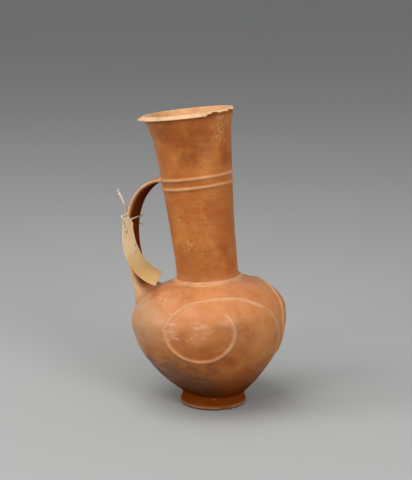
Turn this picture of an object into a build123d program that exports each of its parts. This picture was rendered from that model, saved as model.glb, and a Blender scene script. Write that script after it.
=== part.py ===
"""One-handled jug with a funnel neck, a ring foot and applied relief, with a paper tag tied to its handle.

Millimetres. The origin is the centre of the ring foot on the surface that the jug stands on, +Z up.
The handle is towards -X, the front towards +X, and the two relief scrolls lie on the -Y and +Y sides.
The jug is hand-built: the neck and the body lean towards the handle, and the bowl sags to the front.
"""
import os
from math import cos, pi, radians, sin, sqrt, tan

from build123d import *

# Body, in a frame that leans towards the handle about the centre of the girth
GIRTH_RADIUS = 70.1
GIRTH_X = -4.9
BODY_LEAN = 6.2
BOWL_DEPTH = 73.4
BOWL_LIFT = 8.6
BOWL_ROUND = 64.0
BOWL_ROUND_TURN = 30.0
BOWL_SAG = 0.04
BOWL_FLOOR_RADIUS = 24.0
SHOULDER_RISE = 35.9
BODY_WALL = 5.2
SEAM = 0.02

# Ring foot
FOOT_RADIUS = 30.2
FOOT_WAIST_RADIUS = 28.2
FOOT_WAIST_HEIGHT = 8.5
FOOT_JOIN_RADIUS = 31.0
FOOT_JOIN_HEIGHT = 19.5
FOOT_EDGE = 2.4
FOOT_RECESS_RADIUS = 21.5
FOOT_RECESS_TAPER = 2.0
FOOT_NICK_RADIUS = 5.0
FOOT_NICK_DEPTH = 2.2
FOOT_NICK_TURN = 47.0

# Neck, with heights measured along its own axis from the apex of the shoulder
NECK_LEAN = 7.1
NECK_OFFSET = 3.4
NECK_TENON = 9.5
NECK_BASE_RADIUS = 27.4
NECK_MID_RADIUS = 30.4
NECK_MID_HEIGHT = 71.0
NECK_TOP_RADIUS = 35.0
NECK_TOP_HEIGHT = 126.0
NECK_WALL = 4.4

# Mouth, which sags a little towards the handle
MOUTH_SAG = 0.06
MOUTH_THROAT_RADIUS = 40.4
LIP_RADIUS = 45.8
LIP_UNDERSIDE = 144.5
LIP_EDGE = 1.1
LIP_HEIGHT = 148.5
LIP_TOP_RADIUS = 41.2
LIP_TOP_WIDTH = 2.0
FLARE_HOLLOW = 0.8
CHIP_RADIUS = 14.0
CHIP_DEPTH = 4.3
CHIP_TURNS = (63.0, 81.0, 99.0, 117.0, 135.0)

# Applied clay bands on the neck
RIDGE_HEIGHTS = {"neck_ridge_upper": 90.9, "neck_ridge_lower": 82.7}
RIDGE_HALF_HEIGHT = 2.0
RIDGE_PROUD = 1.4
RIDGE_TILT = 1.3
COLLAR_HEIGHT = -1.4
COLLAR_ROLL = 2.7
COLLAR_PROUD = 2.3

# Strap handle: a curve from inside the neck wall to inside the shoulder wall, with heights from the apex
HANDLE_TOP_UP = 86.94
HANDLE_TOP_DEPTH = 14.0
HANDLE_REACH = 41.0
HANDLE_BULGE = 26.6
HANDLE_BULGE_UP = 31.94
HANDLE_FOOT_UP = 13.0
HANDLE_FOOT_DEPTH = 3.0
HANDLE_THICKNESS = 4.8
HANDLE_TOP_WIDTH = 35.0
HANDLE_WAIST_WIDTH = 22.5
HANDLE_FOOT_WIDTH = 31.0
HANDLE_WAIST_AT = 0.68
HANDLE_SWELL = 1.5
HANDLE_STATIONS = 9

# Peg of the handle, pushed through the shoulder wall and covered inside by a clay patch
PEG_RADIUS = 4.5
PEG_UP = 15.0
PEG_DROP = 35.0
PEG_INSIDE = 1.6
PATCH_RADIUS = 9.0
PATCH_THICKNESS = 3.2

# Relief scrolls, drawn on the girth rolled out flat: along the girth from the side, and up from the girth
COIL_HALF_WIDTH = 2.7
COIL_PROUD = 1.8
LOOP_CENTRE = (24.5, -3.0)
LOOP_HALF_WIDTH = 31.8
LOOP_HALF_HEIGHT = 25.5
LOOP_START = 38.0
LOOP_TURN = 308.0
ARM_LEAD = (40.0, 2.0)
NEAR_ARM = ((104.0, 28.0), (114.5, -38.0))
FAR_ARM = ((125.0, 30.0), (90.0, -40.0))
COIL_POINTS = 24
COIL_TIP = 1.06
LOOP_SHARE = 0.55

# Point of the strap where the string is tied, as a share of its curve; the tag and string hang from there
HANG_AT = 0.47

# Paper tag, straight at the top and curled over the shoulder, placed from the hanging point
TAG_WIDTH = 24.0
TAG_THICKNESS = 0.5
TAG_STRAIGHT = 21.0
TAG_CURL_RADIUS = 38.0
TAG_CURL_TURN = 76.0
TAG_NEAR_EDGE = -28.0
TAG_TOP = 3.46
TAG_AHEAD = 4.55
TAG_HOLE_RADIUS = 2.2
TAG_HOLE_DROP = 11.5
TAG_HOLE_INSET = 6.5
TAG_TRIM = (10.0, 7.8)

# String, tied round the strap and passed through the hole in the tag, placed from the hanging point
STRING_DIAMETER = 1.2
BEND_SHARE = 0.45
KNOT_RADIUS = 2.1
KNOT_PLACE = (-4.35, -3.0, 1.96)
LOOP_ROUTE = (
    (-3.95, -3.6, 1.96),
    (-3.25, -8.5, 2.16),
    (-2.55, -13.8, 2.76),
    (0.85, -20.2, 4.16),
    (3.05, -26.2, 5.16),
    (4.85, -29.9, 4.86),
    (6.15, -28.4, 2.16),
    (5.95, -25.2, -2.44),
    (5.95, -22.3, -6.24),
    (5.95, -21.5, -8.54),
    (3.45, -21.5, -8.54),
    (3.35, -20.6, -5.44),
    (3.35, -16.6, -2.04),
    (3.55, -10.0, -0.44),
    (3.55, 0.0, -0.24),
    (3.45, 9.2, -0.84),
    (2.25, 14.1, -0.84),
    (-2.65, 14.1, 0.16),
    (-3.55, 8.2, 0.96),
    (-3.55, 1.4, 1.76),
    (-4.05, -2.6, 1.96),
)
UPPER_TAIL = ((-4.75, -4.0, 3.36), (-5.15, -6.4, 9.96), (-6.75, -8.8, 17.16), (-8.95, -10.4, 22.56))
LOWER_TAIL = ((-4.75, -2.2, 0.56), (-5.35, 3.0, -3.64), (-4.95, 9.0, -7.24), (-1.55, 14.4, -9.24))


def leaning(x, z, lean):
    """A frame at (x, 0, z) whose Z axis leans by so many degrees towards the handle."""
    tilt = radians(lean)
    return Plane(origin=(x, 0, z), x_dir=(cos(tilt), 0, sin(tilt)), z_dir=(-sin(tilt), 0, cos(tilt)))


def turned(edges):
    """The solid swept by a closed half profile, drawn as radius and height, about the Z axis."""
    return revolve(Plane.XZ * make_face(edges), Axis.Z)


def sagged(solid, sag, height=0.0):
    """The solid with everything above the height shifted along X in proportion, the plane there fixed."""
    return solid.transform_geometry(
        Matrix([[1, 0, sag, -sag * height], [0, 1, 0, 0], [0, 0, 1, 0], [0, 0, 0, 1]])
    )


def at_turn(radius, turn, height):
    """A point at a radius and height, turned from -Y towards +X by so many degrees."""
    return Vector(radius * sin(radians(turn)), -radius * cos(radians(turn)), height)


def bowl_side(inset):
    """The side of the bowl, smaller by the inset: a round stretch below the girth, then a flatter one."""
    centre = (GIRTH_RADIUS - BOWL_ROUND, 0)
    upper = CenterArc(centre, BOWL_ROUND - inset, 0, -BOWL_ROUND_TURN)
    floor_edge = (BOWL_FLOOR_RADIUS, inset - BOWL_DEPTH)
    return upper, TangentArc(upper @ 1, floor_edge, tangent=upper % 1)


def bowl_radius(up, inset):
    """The radius of the bowl at a place below the girth."""
    upper, lower = bowl_side(inset)
    arc = upper if up > (upper @ 1).Y else lower
    return arc.arc_center.X + sqrt(arc.radius ** 2 - (up - arc.arc_center.Y) ** 2)


def shoulder_radius(up, inset=0.0):
    """The radius of the shoulder at a place above the girth, smaller all round by the inset."""
    return (GIRTH_RADIUS - inset) * sqrt(1 - (up / (SHOULDER_RISE - inset)) ** 2)


BODY = leaning(GIRTH_X, BOWL_LIFT + BOWL_DEPTH, BODY_LEAN)
APEX = BODY.from_local_coords(Vector(NECK_OFFSET, 0, SHOULDER_RISE))
NECK = leaning(APEX.X, APEX.Z, NECK_LEAN)


def bowl_form(inset):
    """The bowl below the girth as a full solid with a small flat floor, smaller all round by the inset."""
    upper, lower = bowl_side(inset)
    floor = Vector(0, inset - BOWL_DEPTH)
    form = turned([upper, lower, Line(lower @ 1, floor), Line(floor, (0, 0)), Line((0, 0), upper @ 0)])
    return BODY * sagged(form, -BOWL_SAG)


def bowl_wall():
    """The bowl below the girth, hollow and open at the girth."""
    upper, lower = bowl_side(0)
    inner_upper, inner_lower = bowl_side(BODY_WALL)
    floor = Vector(0, -BOWL_DEPTH)
    inner_floor = Vector(0, BODY_WALL - BOWL_DEPTH)
    wall = turned([
        upper,
        lower,
        Line(lower @ 1, floor),
        Line(floor, inner_floor),
        Line(inner_floor, inner_lower @ 1),
        inner_lower,
        inner_upper,
        Line(inner_upper @ 0, upper @ 0),
    ])
    return BODY * sagged(wall, -BOWL_SAG)


def shoulder_form(inset):
    """The shoulder above the girth as a full solid, smaller all round by the inset."""
    radius = GIRTH_RADIUS - inset
    rise = SHOULDER_RISE - inset
    side = EllipticalCenterArc((0, 0), radius, rise, 0, arc_size=90)
    return BODY * turned([side, Line(side @ 1, (0, 0)), Line((0, 0), side @ 0)])


def neck_radius(height):
    """The outer radius of the neck at a height, by the parabola through its three set radii."""
    base = NECK_BASE_RADIUS * (height - NECK_MID_HEIGHT) * (height - NECK_TOP_HEIGHT)
    middle = NECK_MID_RADIUS * height * (height - NECK_TOP_HEIGHT)
    top = NECK_TOP_RADIUS * height * (height - NECK_MID_HEIGHT)
    return (
        base / (NECK_MID_HEIGHT * NECK_TOP_HEIGHT)
        + middle / (NECK_MID_HEIGHT * (NECK_MID_HEIGHT - NECK_TOP_HEIGHT))
        + top / (NECK_TOP_HEIGHT * (NECK_TOP_HEIGHT - NECK_MID_HEIGHT))
    )


def foot_ring():
    """The flared ring foot as turned, reaching up into the bowl, with a nick in its edge."""
    floor_edge = (FOOT_RADIUS - FOOT_EDGE, 0)
    edge = (FOOT_RADIUS, FOOT_EDGE)
    rounding = (FOOT_RADIUS - FOOT_EDGE * (1 - sin(pi / 4)), FOOT_EDGE * (1 - sin(pi / 4)))
    join = (FOOT_JOIN_RADIUS, FOOT_JOIN_HEIGHT)
    recess_top = (FOOT_RECESS_RADIUS - FOOT_RECESS_TAPER, FOOT_JOIN_HEIGHT)
    recess = (FOOT_RECESS_RADIUS, 0)
    ring = turned([
        Line(recess, floor_edge),
        ThreePointArc(floor_edge, rounding, edge),
        ThreePointArc(edge, (FOOT_WAIST_RADIUS, FOOT_WAIST_HEIGHT), join),
        Line(join, recess_top),
        Line(recess_top, recess),
    ])
    nick_at = FOOT_RADIUS - FOOT_NICK_DEPTH + FOOT_NICK_RADIUS
    return ring - Pos(at_turn(nick_at, FOOT_NICK_TURN, FOOT_EDGE)) * Sphere(FOOT_NICK_RADIUS)


def neck_form():
    """The outside of the neck below the mouth as a full solid."""
    base = (NECK_BASE_RADIUS, 0)
    top = (NECK_TOP_RADIUS, NECK_TOP_HEIGHT)
    side = ThreePointArc(base, (NECK_MID_RADIUS, NECK_MID_HEIGHT), top)
    tenon = (NECK_BASE_RADIUS, -NECK_TENON)
    return turned([
        Line(tenon, base),
        side,
        Line(top, (0, NECK_TOP_HEIGHT)),
        Line((0, NECK_TOP_HEIGHT), (0, -NECK_TENON)),
        Line((0, -NECK_TENON), tenon),
    ])


def neck_bore():
    """The inside of the neck below the mouth as a full solid."""
    base = (NECK_BASE_RADIUS - NECK_WALL, -NECK_TENON)
    middle = (NECK_MID_RADIUS - NECK_WALL, NECK_MID_HEIGHT)
    top = (NECK_TOP_RADIUS - NECK_WALL, NECK_TOP_HEIGHT)
    return turned([
        ThreePointArc(base, middle, top),
        Line(top, (0, NECK_TOP_HEIGHT)),
        Line((0, NECK_TOP_HEIGHT), (0, -NECK_TENON)),
        Line((0, -NECK_TENON), base),
    ])


def mouth():
    """The flared mouth with its undercut, bevelled lip, standing on the top of the neck."""
    throat = Vector(MOUTH_THROAT_RADIUS, LIP_UNDERSIDE)
    start = Vector(NECK_TOP_RADIUS, NECK_TOP_HEIGHT)
    swell = (start + throat) / 2 + Vector(-FLARE_HOLLOW, 0)
    lip_low = Vector(LIP_RADIUS, LIP_UNDERSIDE + LIP_EDGE / 2)
    lip_high = lip_low + Vector(0, LIP_EDGE)
    crest_out = Vector(LIP_TOP_RADIUS, LIP_HEIGHT)
    crest_in = crest_out - Vector(LIP_TOP_WIDTH, 0)
    inner = start - Vector(NECK_WALL, 0)
    inner_swell = (inner + crest_in) / 2 + Vector(-FLARE_HOLLOW, 0)
    ring = turned([
        ThreePointArc(start, swell, throat),
        Line(throat, lip_low),
        Line(lip_low, lip_high),
        Line(lip_high, crest_out),
        Line(crest_out, crest_in),
        ThreePointArc(crest_in, inner_swell, inner),
        Line(inner, start),
    ])
    bite_at = LIP_RADIUS - CHIP_DEPTH + CHIP_RADIUS
    for turn in CHIP_TURNS:
        ring -= Pos(at_turn(bite_at, turn, lip_high.Y)) * Sphere(CHIP_RADIUS)
    return sagged(ring, -MOUTH_SAG, NECK_TOP_HEIGHT)


def ridge(height):
    """A low clay band round the neck, tilted a little more than the neck, its seam away from the neck's."""
    radius = neck_radius(height)
    section = Pos(radius - RIDGE_PROUD, 0) * Ellipse(2 * RIDGE_PROUD, RIDGE_HALF_HEIGHT)
    return NECK * Pos(0, 0, height) * Rot(0, -RIDGE_TILT, 0) * revolve(Plane.YZ * section, Axis.Z)


def collar():
    """The roll of clay that covers the joint of the neck and the shoulder."""
    roll = Pos(NECK_BASE_RADIUS + COLLAR_PROUD - COLLAR_ROLL, 0) * Circle(COLLAR_ROLL)
    return NECK * Pos(0, 0, COLLAR_HEIGHT) * revolve(Plane.XZ * roll, Axis.Z)


def handle_curve():
    """The middle line of the strap, seen from the side."""
    neck_face = APEX.X - HANDLE_TOP_UP * tan(radians(NECK_LEAN)) - NECK_MID_RADIUS
    top_height = APEX.Z + HANDLE_TOP_UP
    top = Vector(neck_face + HANDLE_TOP_DEPTH, 0, top_height)
    foot_radius = shoulder_radius(HANDLE_FOOT_UP) - HANDLE_FOOT_DEPTH
    foot = BODY.from_local_coords(Vector(-foot_radius, 0, HANDLE_FOOT_UP))
    reach = Vector(neck_face - HANDLE_REACH, 0, top_height)
    bulge = Vector(foot.X - HANDLE_BULGE, 0, APEX.Z + HANDLE_BULGE_UP)
    return Bezier(top, reach, bulge, foot)


HANG = handle_curve() @ HANG_AT


def hung(place):
    """A place given from the point of the strap where the string is tied."""
    return HANG + Vector(place)


def strap_width(share):
    """The width of the strap at a share of its curve: wide at both roots, narrow at the waist."""
    if share < HANDLE_WAIST_AT:
        away = (HANDLE_WAIST_AT - share) / HANDLE_WAIST_AT
        root = HANDLE_TOP_WIDTH
    else:
        away = (share - HANDLE_WAIST_AT) / (1 - HANDLE_WAIST_AT)
        root = HANDLE_FOOT_WIDTH
    return HANDLE_WAIST_WIDTH + (root - HANDLE_WAIST_WIDTH) * away ** HANDLE_SWELL


def strap():
    """The strap with rounded edges, lofted along its curve from root to root."""
    curve = handle_curve()
    sections = []
    for station in range(HANDLE_STATIONS):
        share = station / (HANDLE_STATIONS - 1)
        frame = Plane(origin=curve @ share, x_dir=(0, 1, 0), z_dir=curve % share)
        sections.append(frame * SlotOverall(strap_width(share), HANDLE_THICKNESS))
    return loft(sections)


def peg_frame():
    """A frame on the middle line of the peg, its Z axis pointing into the jug."""
    place = BODY.from_local_coords(Vector(-shoulder_radius(PEG_UP), 0, PEG_UP))
    drop = radians(PEG_DROP)
    return Plane(origin=place, x_dir=(0, 1, 0), z_dir=(cos(drop), 0, -sin(drop)))


def rod(frame, radius, reach):
    """A round rod along the Z axis of a frame, reaching as far to both sides of its origin."""
    return frame * Cylinder(radius, 2 * reach)


def scroll_place(share, arm):
    """A place on the rolled-out girth along a scroll: once round its loop, then over and down its arm."""
    if share < LOOP_SHARE:
        angle = radians(LOOP_START - LOOP_TURN * share / LOOP_SHARE)
        along = LOOP_CENTRE[0] + LOOP_HALF_WIDTH * cos(angle)
        return along, LOOP_CENTRE[1] + LOOP_HALF_HEIGHT * sin(angle)
    t = (share - LOOP_SHARE) / (1 - LOOP_SHARE)
    top = LOOP_CENTRE[1] + LOOP_HALF_HEIGHT
    controls = (
        (LOOP_CENTRE[0], top),
        (LOOP_CENTRE[0] + ARM_LEAD[0], top + ARM_LEAD[1]),
        *arm,
    )
    weights = ((1 - t) ** 3, 3 * t * (1 - t) ** 2, 3 * t ** 2 * (1 - t), t ** 3)
    along = sum(weight * place[0] for weight, place in zip(weights, controls))
    return along, sum(weight * place[1] for weight, place in zip(weights, controls))


def on_body(along, up, side, inset):
    """The point of the body's surface at a place on the rolled-out girth, sunk by the inset."""
    if up > 0:
        radius = shoulder_radius(up, inset)
        sag = 0.0
    else:
        radius = bowl_radius(up, inset)
        sag = -BOWL_SAG * up
    turn = along / GIRTH_RADIUS
    return BODY.from_local_coords(Vector(radius * sin(turn) + sag, side * radius * cos(turn), up))


def scroll(side, arm):
    """A clay coil laid on the body in a loop with a long arm, as a tube sunk by the right depth."""
    tube = (COIL_HALF_WIDTH ** 2 + COIL_PROUD ** 2) / (2 * COIL_PROUD)
    inset = tube - COIL_PROUD
    places = [scroll_place(i / (COIL_POINTS - 1), arm) for i in range(COIL_POINTS)]
    points = [on_body(along, up, side, inset) for along, up in places]
    curve = Spline(*points)
    start = Plane(origin=curve @ 0, z_dir=curve % 0)
    coil = sweep(start * Circle(tube), path=curve)
    for tip in (points[0], points[-1]):
        coil += Pos(tip) * Sphere(tube * COIL_TIP)
    return coil


def paper_tag():
    """The tag: a strip of card, straight at the top and curled below, with a hole and a trimmed corner."""
    front = TAG_AHEAD + TAG_THICKNESS
    bend = TAG_TOP - TAG_STRAIGHT
    centre = Vector(TAG_AHEAD + TAG_CURL_RADIUS, bend)
    back_curl = CenterArc(centre, TAG_CURL_RADIUS, 180, TAG_CURL_TURN)
    front_curl = CenterArc(centre, TAG_CURL_RADIUS - TAG_THICKNESS, 180, TAG_CURL_TURN)
    outline = make_face([
        Line((TAG_AHEAD, TAG_TOP), (TAG_AHEAD, bend)),
        back_curl,
        Line(back_curl @ 1, front_curl @ 1),
        front_curl,
        Line((front, bend), (front, TAG_TOP)),
        Line((front, TAG_TOP), (TAG_AHEAD, TAG_TOP)),
    ])
    far_edge = TAG_NEAR_EDGE + TAG_WIDTH
    card = extrude(Plane.XZ.offset(-far_edge) * outline, TAG_WIDTH)
    hole = Pos(TAG_NEAR_EDGE + TAG_HOLE_INSET, TAG_TOP - TAG_HOLE_DROP) * Circle(TAG_HOLE_RADIUS)
    corner = (far_edge, TAG_TOP)
    trim_top = (far_edge - TAG_TRIM[0], TAG_TOP)
    trim_side = (far_edge, TAG_TOP - TAG_TRIM[1])
    trim = Polygon(corner, trim_top, trim_side, align=None)
    middle = Plane.YZ.offset((TAG_AHEAD + front) / 2)
    return Pos(HANG) * (card - [extrude(middle * cut, TAG_THICKNESS, both=True) for cut in (hole, trim)])


def bend_radii(route):
    """The largest radius that each corner of a route leaves room for."""
    radii = []
    for before, corner, after in zip(route, route[1:], route[2:]):
        arriving = corner - before
        leaving = after - corner
        half_turn = radians(arriving.get_angle(leaving)) / 2
        radii.append(BEND_SHARE * min(arriving.length, leaving.length) / tan(half_turn))
    return radii


def string(route):
    """A round string along a route of straight runs joined by arcs."""
    places = [hung(place) for place in route]
    radii = bend_radii(places)
    path = FilletPolyline(*places, radius=radii)
    print("string of", round(path.length, 1), "with bends of", [round(radius, 1) for radius in radii])
    start = Plane(origin=path @ 0, z_dir=path % 0)
    return sweep(start * Circle(STRING_DIAMETER / 2), path=path)


# Full solids of the outside and of the hollow, which the pieces are cut to fit
bowl_outside = bowl_form(0)
shoulder_outside = shoulder_form(0)
shoulder_inside = shoulder_form(BODY_WALL)
neck_outside = NECK * neck_form()
body_outside = [bowl_form(-SEAM), shoulder_form(-SEAM)]

# The peg and its patch are as deep as the wall is along the peg
wall_along_peg = BODY_WALL / cos(radians(PEG_DROP))
peg = rod(peg_frame(), PEG_RADIUS, wall_along_peg + PEG_INSIDE)
patch = rod(peg_frame(), PATCH_RADIUS, wall_along_peg + PATCH_THICKNESS)
knot = Pos(hung(KNOT_PLACE)) * Sphere(KNOT_RADIUS)

pieces = {}
pieces["foot_ring"] = foot_ring() - bowl_outside
pieces["lower_body"] = bowl_wall()
pieces["shoulder"] = shoulder_outside - shoulder_inside - neck_outside - peg
pieces["neck"] = NECK * (neck_form() - neck_bore() + mouth())
pieces["handle_strap"] = strap() - shoulder_outside - neck_outside + (peg & shoulder_outside)
pieces["handle_peg_patch"] = (patch & shoulder_inside) - peg
for name, height in RIDGE_HEIGHTS.items():
    pieces[name] = ridge(height) - neck_outside - pieces["handle_strap"]
pieces["neck_collar"] = collar() - neck_outside - shoulder_outside
pieces["relief_scroll_near"] = scroll(-1, NEAR_ARM) - body_outside
pieces["relief_scroll_far"] = scroll(1, FAR_ARM) - body_outside
pieces["paper_tag"] = paper_tag()
pieces["tag_string"] = string(LOOP_ROUTE) - knot
pieces["string_knot"] = knot
pieces["string_tails"] = Compound(children=[string(UPPER_TAIL) - knot, string(LOWER_TAIL) - knot])

os.makedirs("parts", exist_ok=True)
for name, piece in pieces.items():
    export_step(piece, f"parts/{name}.step")
    print(name, round(piece.volume, 1), len(piece.solids()))
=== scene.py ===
"""Looks of a one-handled relief jug: its hand-built clay, the card tag on its handle and the string.

Shapes are worked out in millimetres in the jug's own frame and become metres as each mesh is made.
A turn is an angle in degrees from -Y towards +X, seen from above. Colours are display values from 0 to 255.
"""
from math import ceil, cos, pi, radians, sin, sqrt, tan

import bmesh
import bpy
import numpy as np
from mathutils import Color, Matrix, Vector, noise


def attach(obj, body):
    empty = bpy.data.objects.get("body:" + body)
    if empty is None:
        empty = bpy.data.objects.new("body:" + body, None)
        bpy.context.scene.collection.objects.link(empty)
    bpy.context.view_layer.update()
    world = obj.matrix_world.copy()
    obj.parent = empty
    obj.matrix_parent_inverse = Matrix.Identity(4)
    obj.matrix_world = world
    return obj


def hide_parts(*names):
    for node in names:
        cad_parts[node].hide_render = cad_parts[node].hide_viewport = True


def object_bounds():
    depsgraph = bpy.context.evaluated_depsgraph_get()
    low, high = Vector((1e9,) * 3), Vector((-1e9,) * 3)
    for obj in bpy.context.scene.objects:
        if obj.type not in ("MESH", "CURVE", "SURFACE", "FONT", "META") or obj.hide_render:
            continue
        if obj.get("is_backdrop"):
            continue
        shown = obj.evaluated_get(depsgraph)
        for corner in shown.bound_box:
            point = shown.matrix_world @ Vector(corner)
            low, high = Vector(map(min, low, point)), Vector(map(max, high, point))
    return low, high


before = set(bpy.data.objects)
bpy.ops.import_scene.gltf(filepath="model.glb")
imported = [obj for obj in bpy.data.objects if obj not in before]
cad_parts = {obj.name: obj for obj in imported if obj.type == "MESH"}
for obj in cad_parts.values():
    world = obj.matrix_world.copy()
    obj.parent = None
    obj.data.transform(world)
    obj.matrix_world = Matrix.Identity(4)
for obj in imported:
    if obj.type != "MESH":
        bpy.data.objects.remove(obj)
cad_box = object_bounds()

MM = 0.001

# Body, in a frame that leans towards the handle about the centre of the girth
GIRTH_RADIUS = 70.1
GIRTH_HEIGHT = 82.0
GIRTH_X = -4.9
BODY_LEAN = 6.2
BOWL_DEPTH = 73.4
BOWL_ROUND = 64.0
BOWL_ROUND_TURN = 30.0
BOWL_SAG = 0.04
BOWL_FLOOR_RADIUS = 24.0
SHOULDER_RISE = 35.9
SHOULDER_HOLE_RADIUS = 25.2
BODY_WALL = 5.2

# Ring foot
FOOT_RADIUS = 30.2
FOOT_WAIST_RADIUS = 28.2
FOOT_WAIST_HEIGHT = 8.5
FOOT_JOIN_RADIUS = 31.0
FOOT_JOIN_HEIGHT = 19.5
FOOT_EDGE = 2.4
FOOT_RECESS_RADIUS = 21.5
FOOT_RECESS_TAPER = 2.0
FOOT_SUNK = 1.5
FOOT_WEAR = 0.3
FOOT_NICK = {"turn": 47.0, "half_turn": 9.0, "depth": 2.4, "height": 3.4, "grain": 2.0, "least": 0.2}

# Neck, with heights along its own axis from the apex of the shoulder
NECK_LEAN = 7.1
NECK_OFFSET = 3.4
NECK_TENON = 9.5
NECK_BASE_RADIUS = 27.4
NECK_MID_RADIUS = 30.4
NECK_MID_HEIGHT = 71.0
NECK_TOP_RADIUS = 35.0
NECK_TOP_HEIGHT = 126.0
NECK_WALL = 4.4

# Mouth, which sags a little towards the handle, with the bites out of its lip
MOUTH_SAG = 0.06
MOUTH_THROAT_RADIUS = 40.4
LIP_RADIUS = 45.8
LIP_UNDERSIDE = 144.5
LIP_EDGE = 1.1
LIP_HEIGHT = 148.5
LIP_TOP_RADIUS = 41.2
LIP_TOP_WIDTH = 2.0
FLARE_HOLLOW = 0.8
PALE_MOUTH = 0.55
PALE_MOUTH_DEPTH = 18.0
LIP_BITES = (
    {"turn": 52.0, "half_turn": 4.0, "depth": 2.4},
    {"turn": 60.0, "half_turn": 6.5, "depth": 4.9},
    {"turn": 72.5, "half_turn": 8.0, "depth": 3.4},
    {"turn": 86.0, "half_turn": 9.0, "depth": 4.6},
)
BITE_SLOPE = -0.35
BITE_ROUGHNESS = 0.4
BITE_GRAINS = (2.6, 0.9)
BITE_LEAST = 0.3
# How dark the painted shade on the broken faces of the lip is
BITE_SHADE = 0.5
LIP_BREAK = {"turn": 117.0, "away": 40.3, "least_facing": 0.5}
FLAKE = {
    "turn": 71.0, "half_turn": 8.0, "height": 143.4, "half_height": 3.4,
    "depth": 0.9, "sharpness": 4.0, "paleness": 0.42,
}

# Applied bands of clay: the two ridges round the neck and the collar at its foot
RIDGES = {"neck_ridge_upper": 90.9, "neck_ridge_lower": 82.7}
RIDGE_HALF_HEIGHT = 1.9
RIDGE_SPAN = 2.2 * RIDGE_HALF_HEIGHT
RIDGE_PROUD = 1.6
RIDGE_TILT = 1.3
COLLAR_CREST = 30.0
COLLAR_ROLL = 5.5
COLLAR_FALL = 1.5
COLLAR_UP = 3.1
COLLAR_WEAR = 0.9
# Painted shade in the crease below the collar: where it lies, its half width and how dark it is
COLLAR_CREASE = {"away": 2.9, "half_width": 0.9, "darkness": 0.6}
COLLAR_INSIDE = 1.5
COLLAR_SPREAD = 36.0
BAND_SUNK = 0.6
BAND_BACK = 3 * BAND_SUNK

# Strap handle
HANDLE_TOP_HEIGHT = 205.0
HANDLE_TOP_DEPTH = 14.0
HANDLE_REACH = 41.0
HANDLE_BULGE = 26.6
HANDLE_BULGE_HEIGHT = 150.0
HANDLE_FOOT_UP = 13.0
HANDLE_FOOT_DEPTH = 3.0
HANDLE_THICKNESS = 4.8
HANDLE_TOP_WIDTH = 35.0
HANDLE_WAIST_WIDTH = 22.5
HANDLE_FOOT_WIDTH = 31.0
HANDLE_WAIST_AT = 0.68
HANDLE_SWELL = 1.5
HANDLE_SQUARENESS = 2.8
HANDLE_SMEAR_NECK = 4.0
HANDLE_SMEAR_SHOULDER = 11.0
HANDLE_SMEAR_OUTSIDE = 0.3
HANDLE_END_SHARE = 0.03
HANDLE_ROOT_DEPTH = 14.0
HANDLE_ROOT_HEIGHT = 24.0
HANDLE_ROOT_POWER = 1.5
HANDLE_HOLD = (-1.0, 0.2)
HANDLE_EDGE = 0.5
# Painted shade on the strap's inner side: how fast it grows across the strap, and where it starts
INNER_SHADE_SLOPE = 1.8
INNER_SHADE_START = 0.5
SMEAR_SINK = 1.0

# Relief scrolls, drawn on the girth rolled out flat: along the girth from the side, and up from the girth
COIL_HALF_WIDTH = 1.9
COIL_PROUD = 1.35
COIL_SUNK = 0.25
COIL_BACK = 4 * COIL_SUNK
COIL_SKIRT = 4.4
COIL_TAPER = 5.0
COIL_PRESS = ((17.0, 0.22), (5.0, 0.1))
COIL_NUDGE = 0.2
LOOP_CENTRE = (24.5, -3.0)
LOOP_HALF = (31.8, 25.5)
LOOP_START = 38.0
LOOP_TURN = 308.0
LOOP_SHARE = 0.55
ARM_LEAD = (40.0, 2.0)
SCROLLS = {
    "relief_scroll_near": (-1, ((104.0, 28.0), (114.5, -38.0))),
    "relief_scroll_far": (1, ((125.0, 30.0), (90.0, -40.0))),
}

# Card tag
TAG_WIDTH = 24.0
TAG_THICKNESS = 0.4
TAG_STRAIGHT = 21.0
TAG_CURL_RADIUS = 38.0
TAG_CURL_TURN = 76.0
TAG_NEAR_EDGE = -28.0
TAG_TOP = 168.5
TAG_BACK_X = -77.5
TAG_HOLE_RADIUS = 2.2
TAG_HOLE_DROP = 11.5
TAG_HOLE_INSET = 6.5
TAG_HOLE = (TAG_BACK_X, TAG_NEAR_EDGE + TAG_HOLE_INSET, TAG_TOP - TAG_HOLE_DROP)
HOLE_TOOL_DEPTH = 20 * TAG_THICKNESS
TAG_TRIM = (10.0, 7.8)
TAG_TWIST = 16.0
TAG_TWIST_POWER = 1.6
TAG_SKEW = (5.0, -3.0)
TAG_TAPER = 5.5
TAG_TAPER_REACH = 1.6
TAG_BUCKLE = 0.35
TAG_BUCKLE_SIZE = 17.0

# String: its route from the knot through the tag and round the strap, and its two tails
STRING_DIAMETER = 1.2
STRING_PLIES = 3
STRING_PITCH = 3.2
PLY_OFFSET = 0.26 * STRING_DIAMETER
PLY_RADIUS = 0.36 * STRING_DIAMETER
KNOT_PLACE = (-86.4, -3.0, 167.0)
KNOT_SIZE = 0.55
KNOT_STRETCH = (1.4, 1.0, 1.0)
KNOT_FULLNESS = 1.5
LOOP_ROUTE = (
    (-86.0, -3.6, 167.0), (-85.3, -8.5, 167.2), (-84.6, -13.8, 167.8),
    (-81.2, -20.2, 169.2), (-79.0, -26.2, 170.2), (-77.2, -29.9, 169.9),
    (-75.9, -28.4, 167.2), (-76.1, -25.2, 162.6), (-76.1, -22.3, 158.8),
    (-76.1, -21.5, 156.5), (-78.6, -21.5, 156.5), (-78.7, -20.6, 159.6),
    (-78.7, -16.6, 163.0), (-78.5, -10.0, 164.6), (-78.5, 0.0, 164.8),
    (-78.6, 9.2, 164.2), (-79.8, 14.1, 164.2), (-84.7, 14.1, 165.2),
    (-85.6, 8.2, 166.0), (-85.6, 1.4, 166.8), (-86.1, -2.6, 167.0),
)
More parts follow.
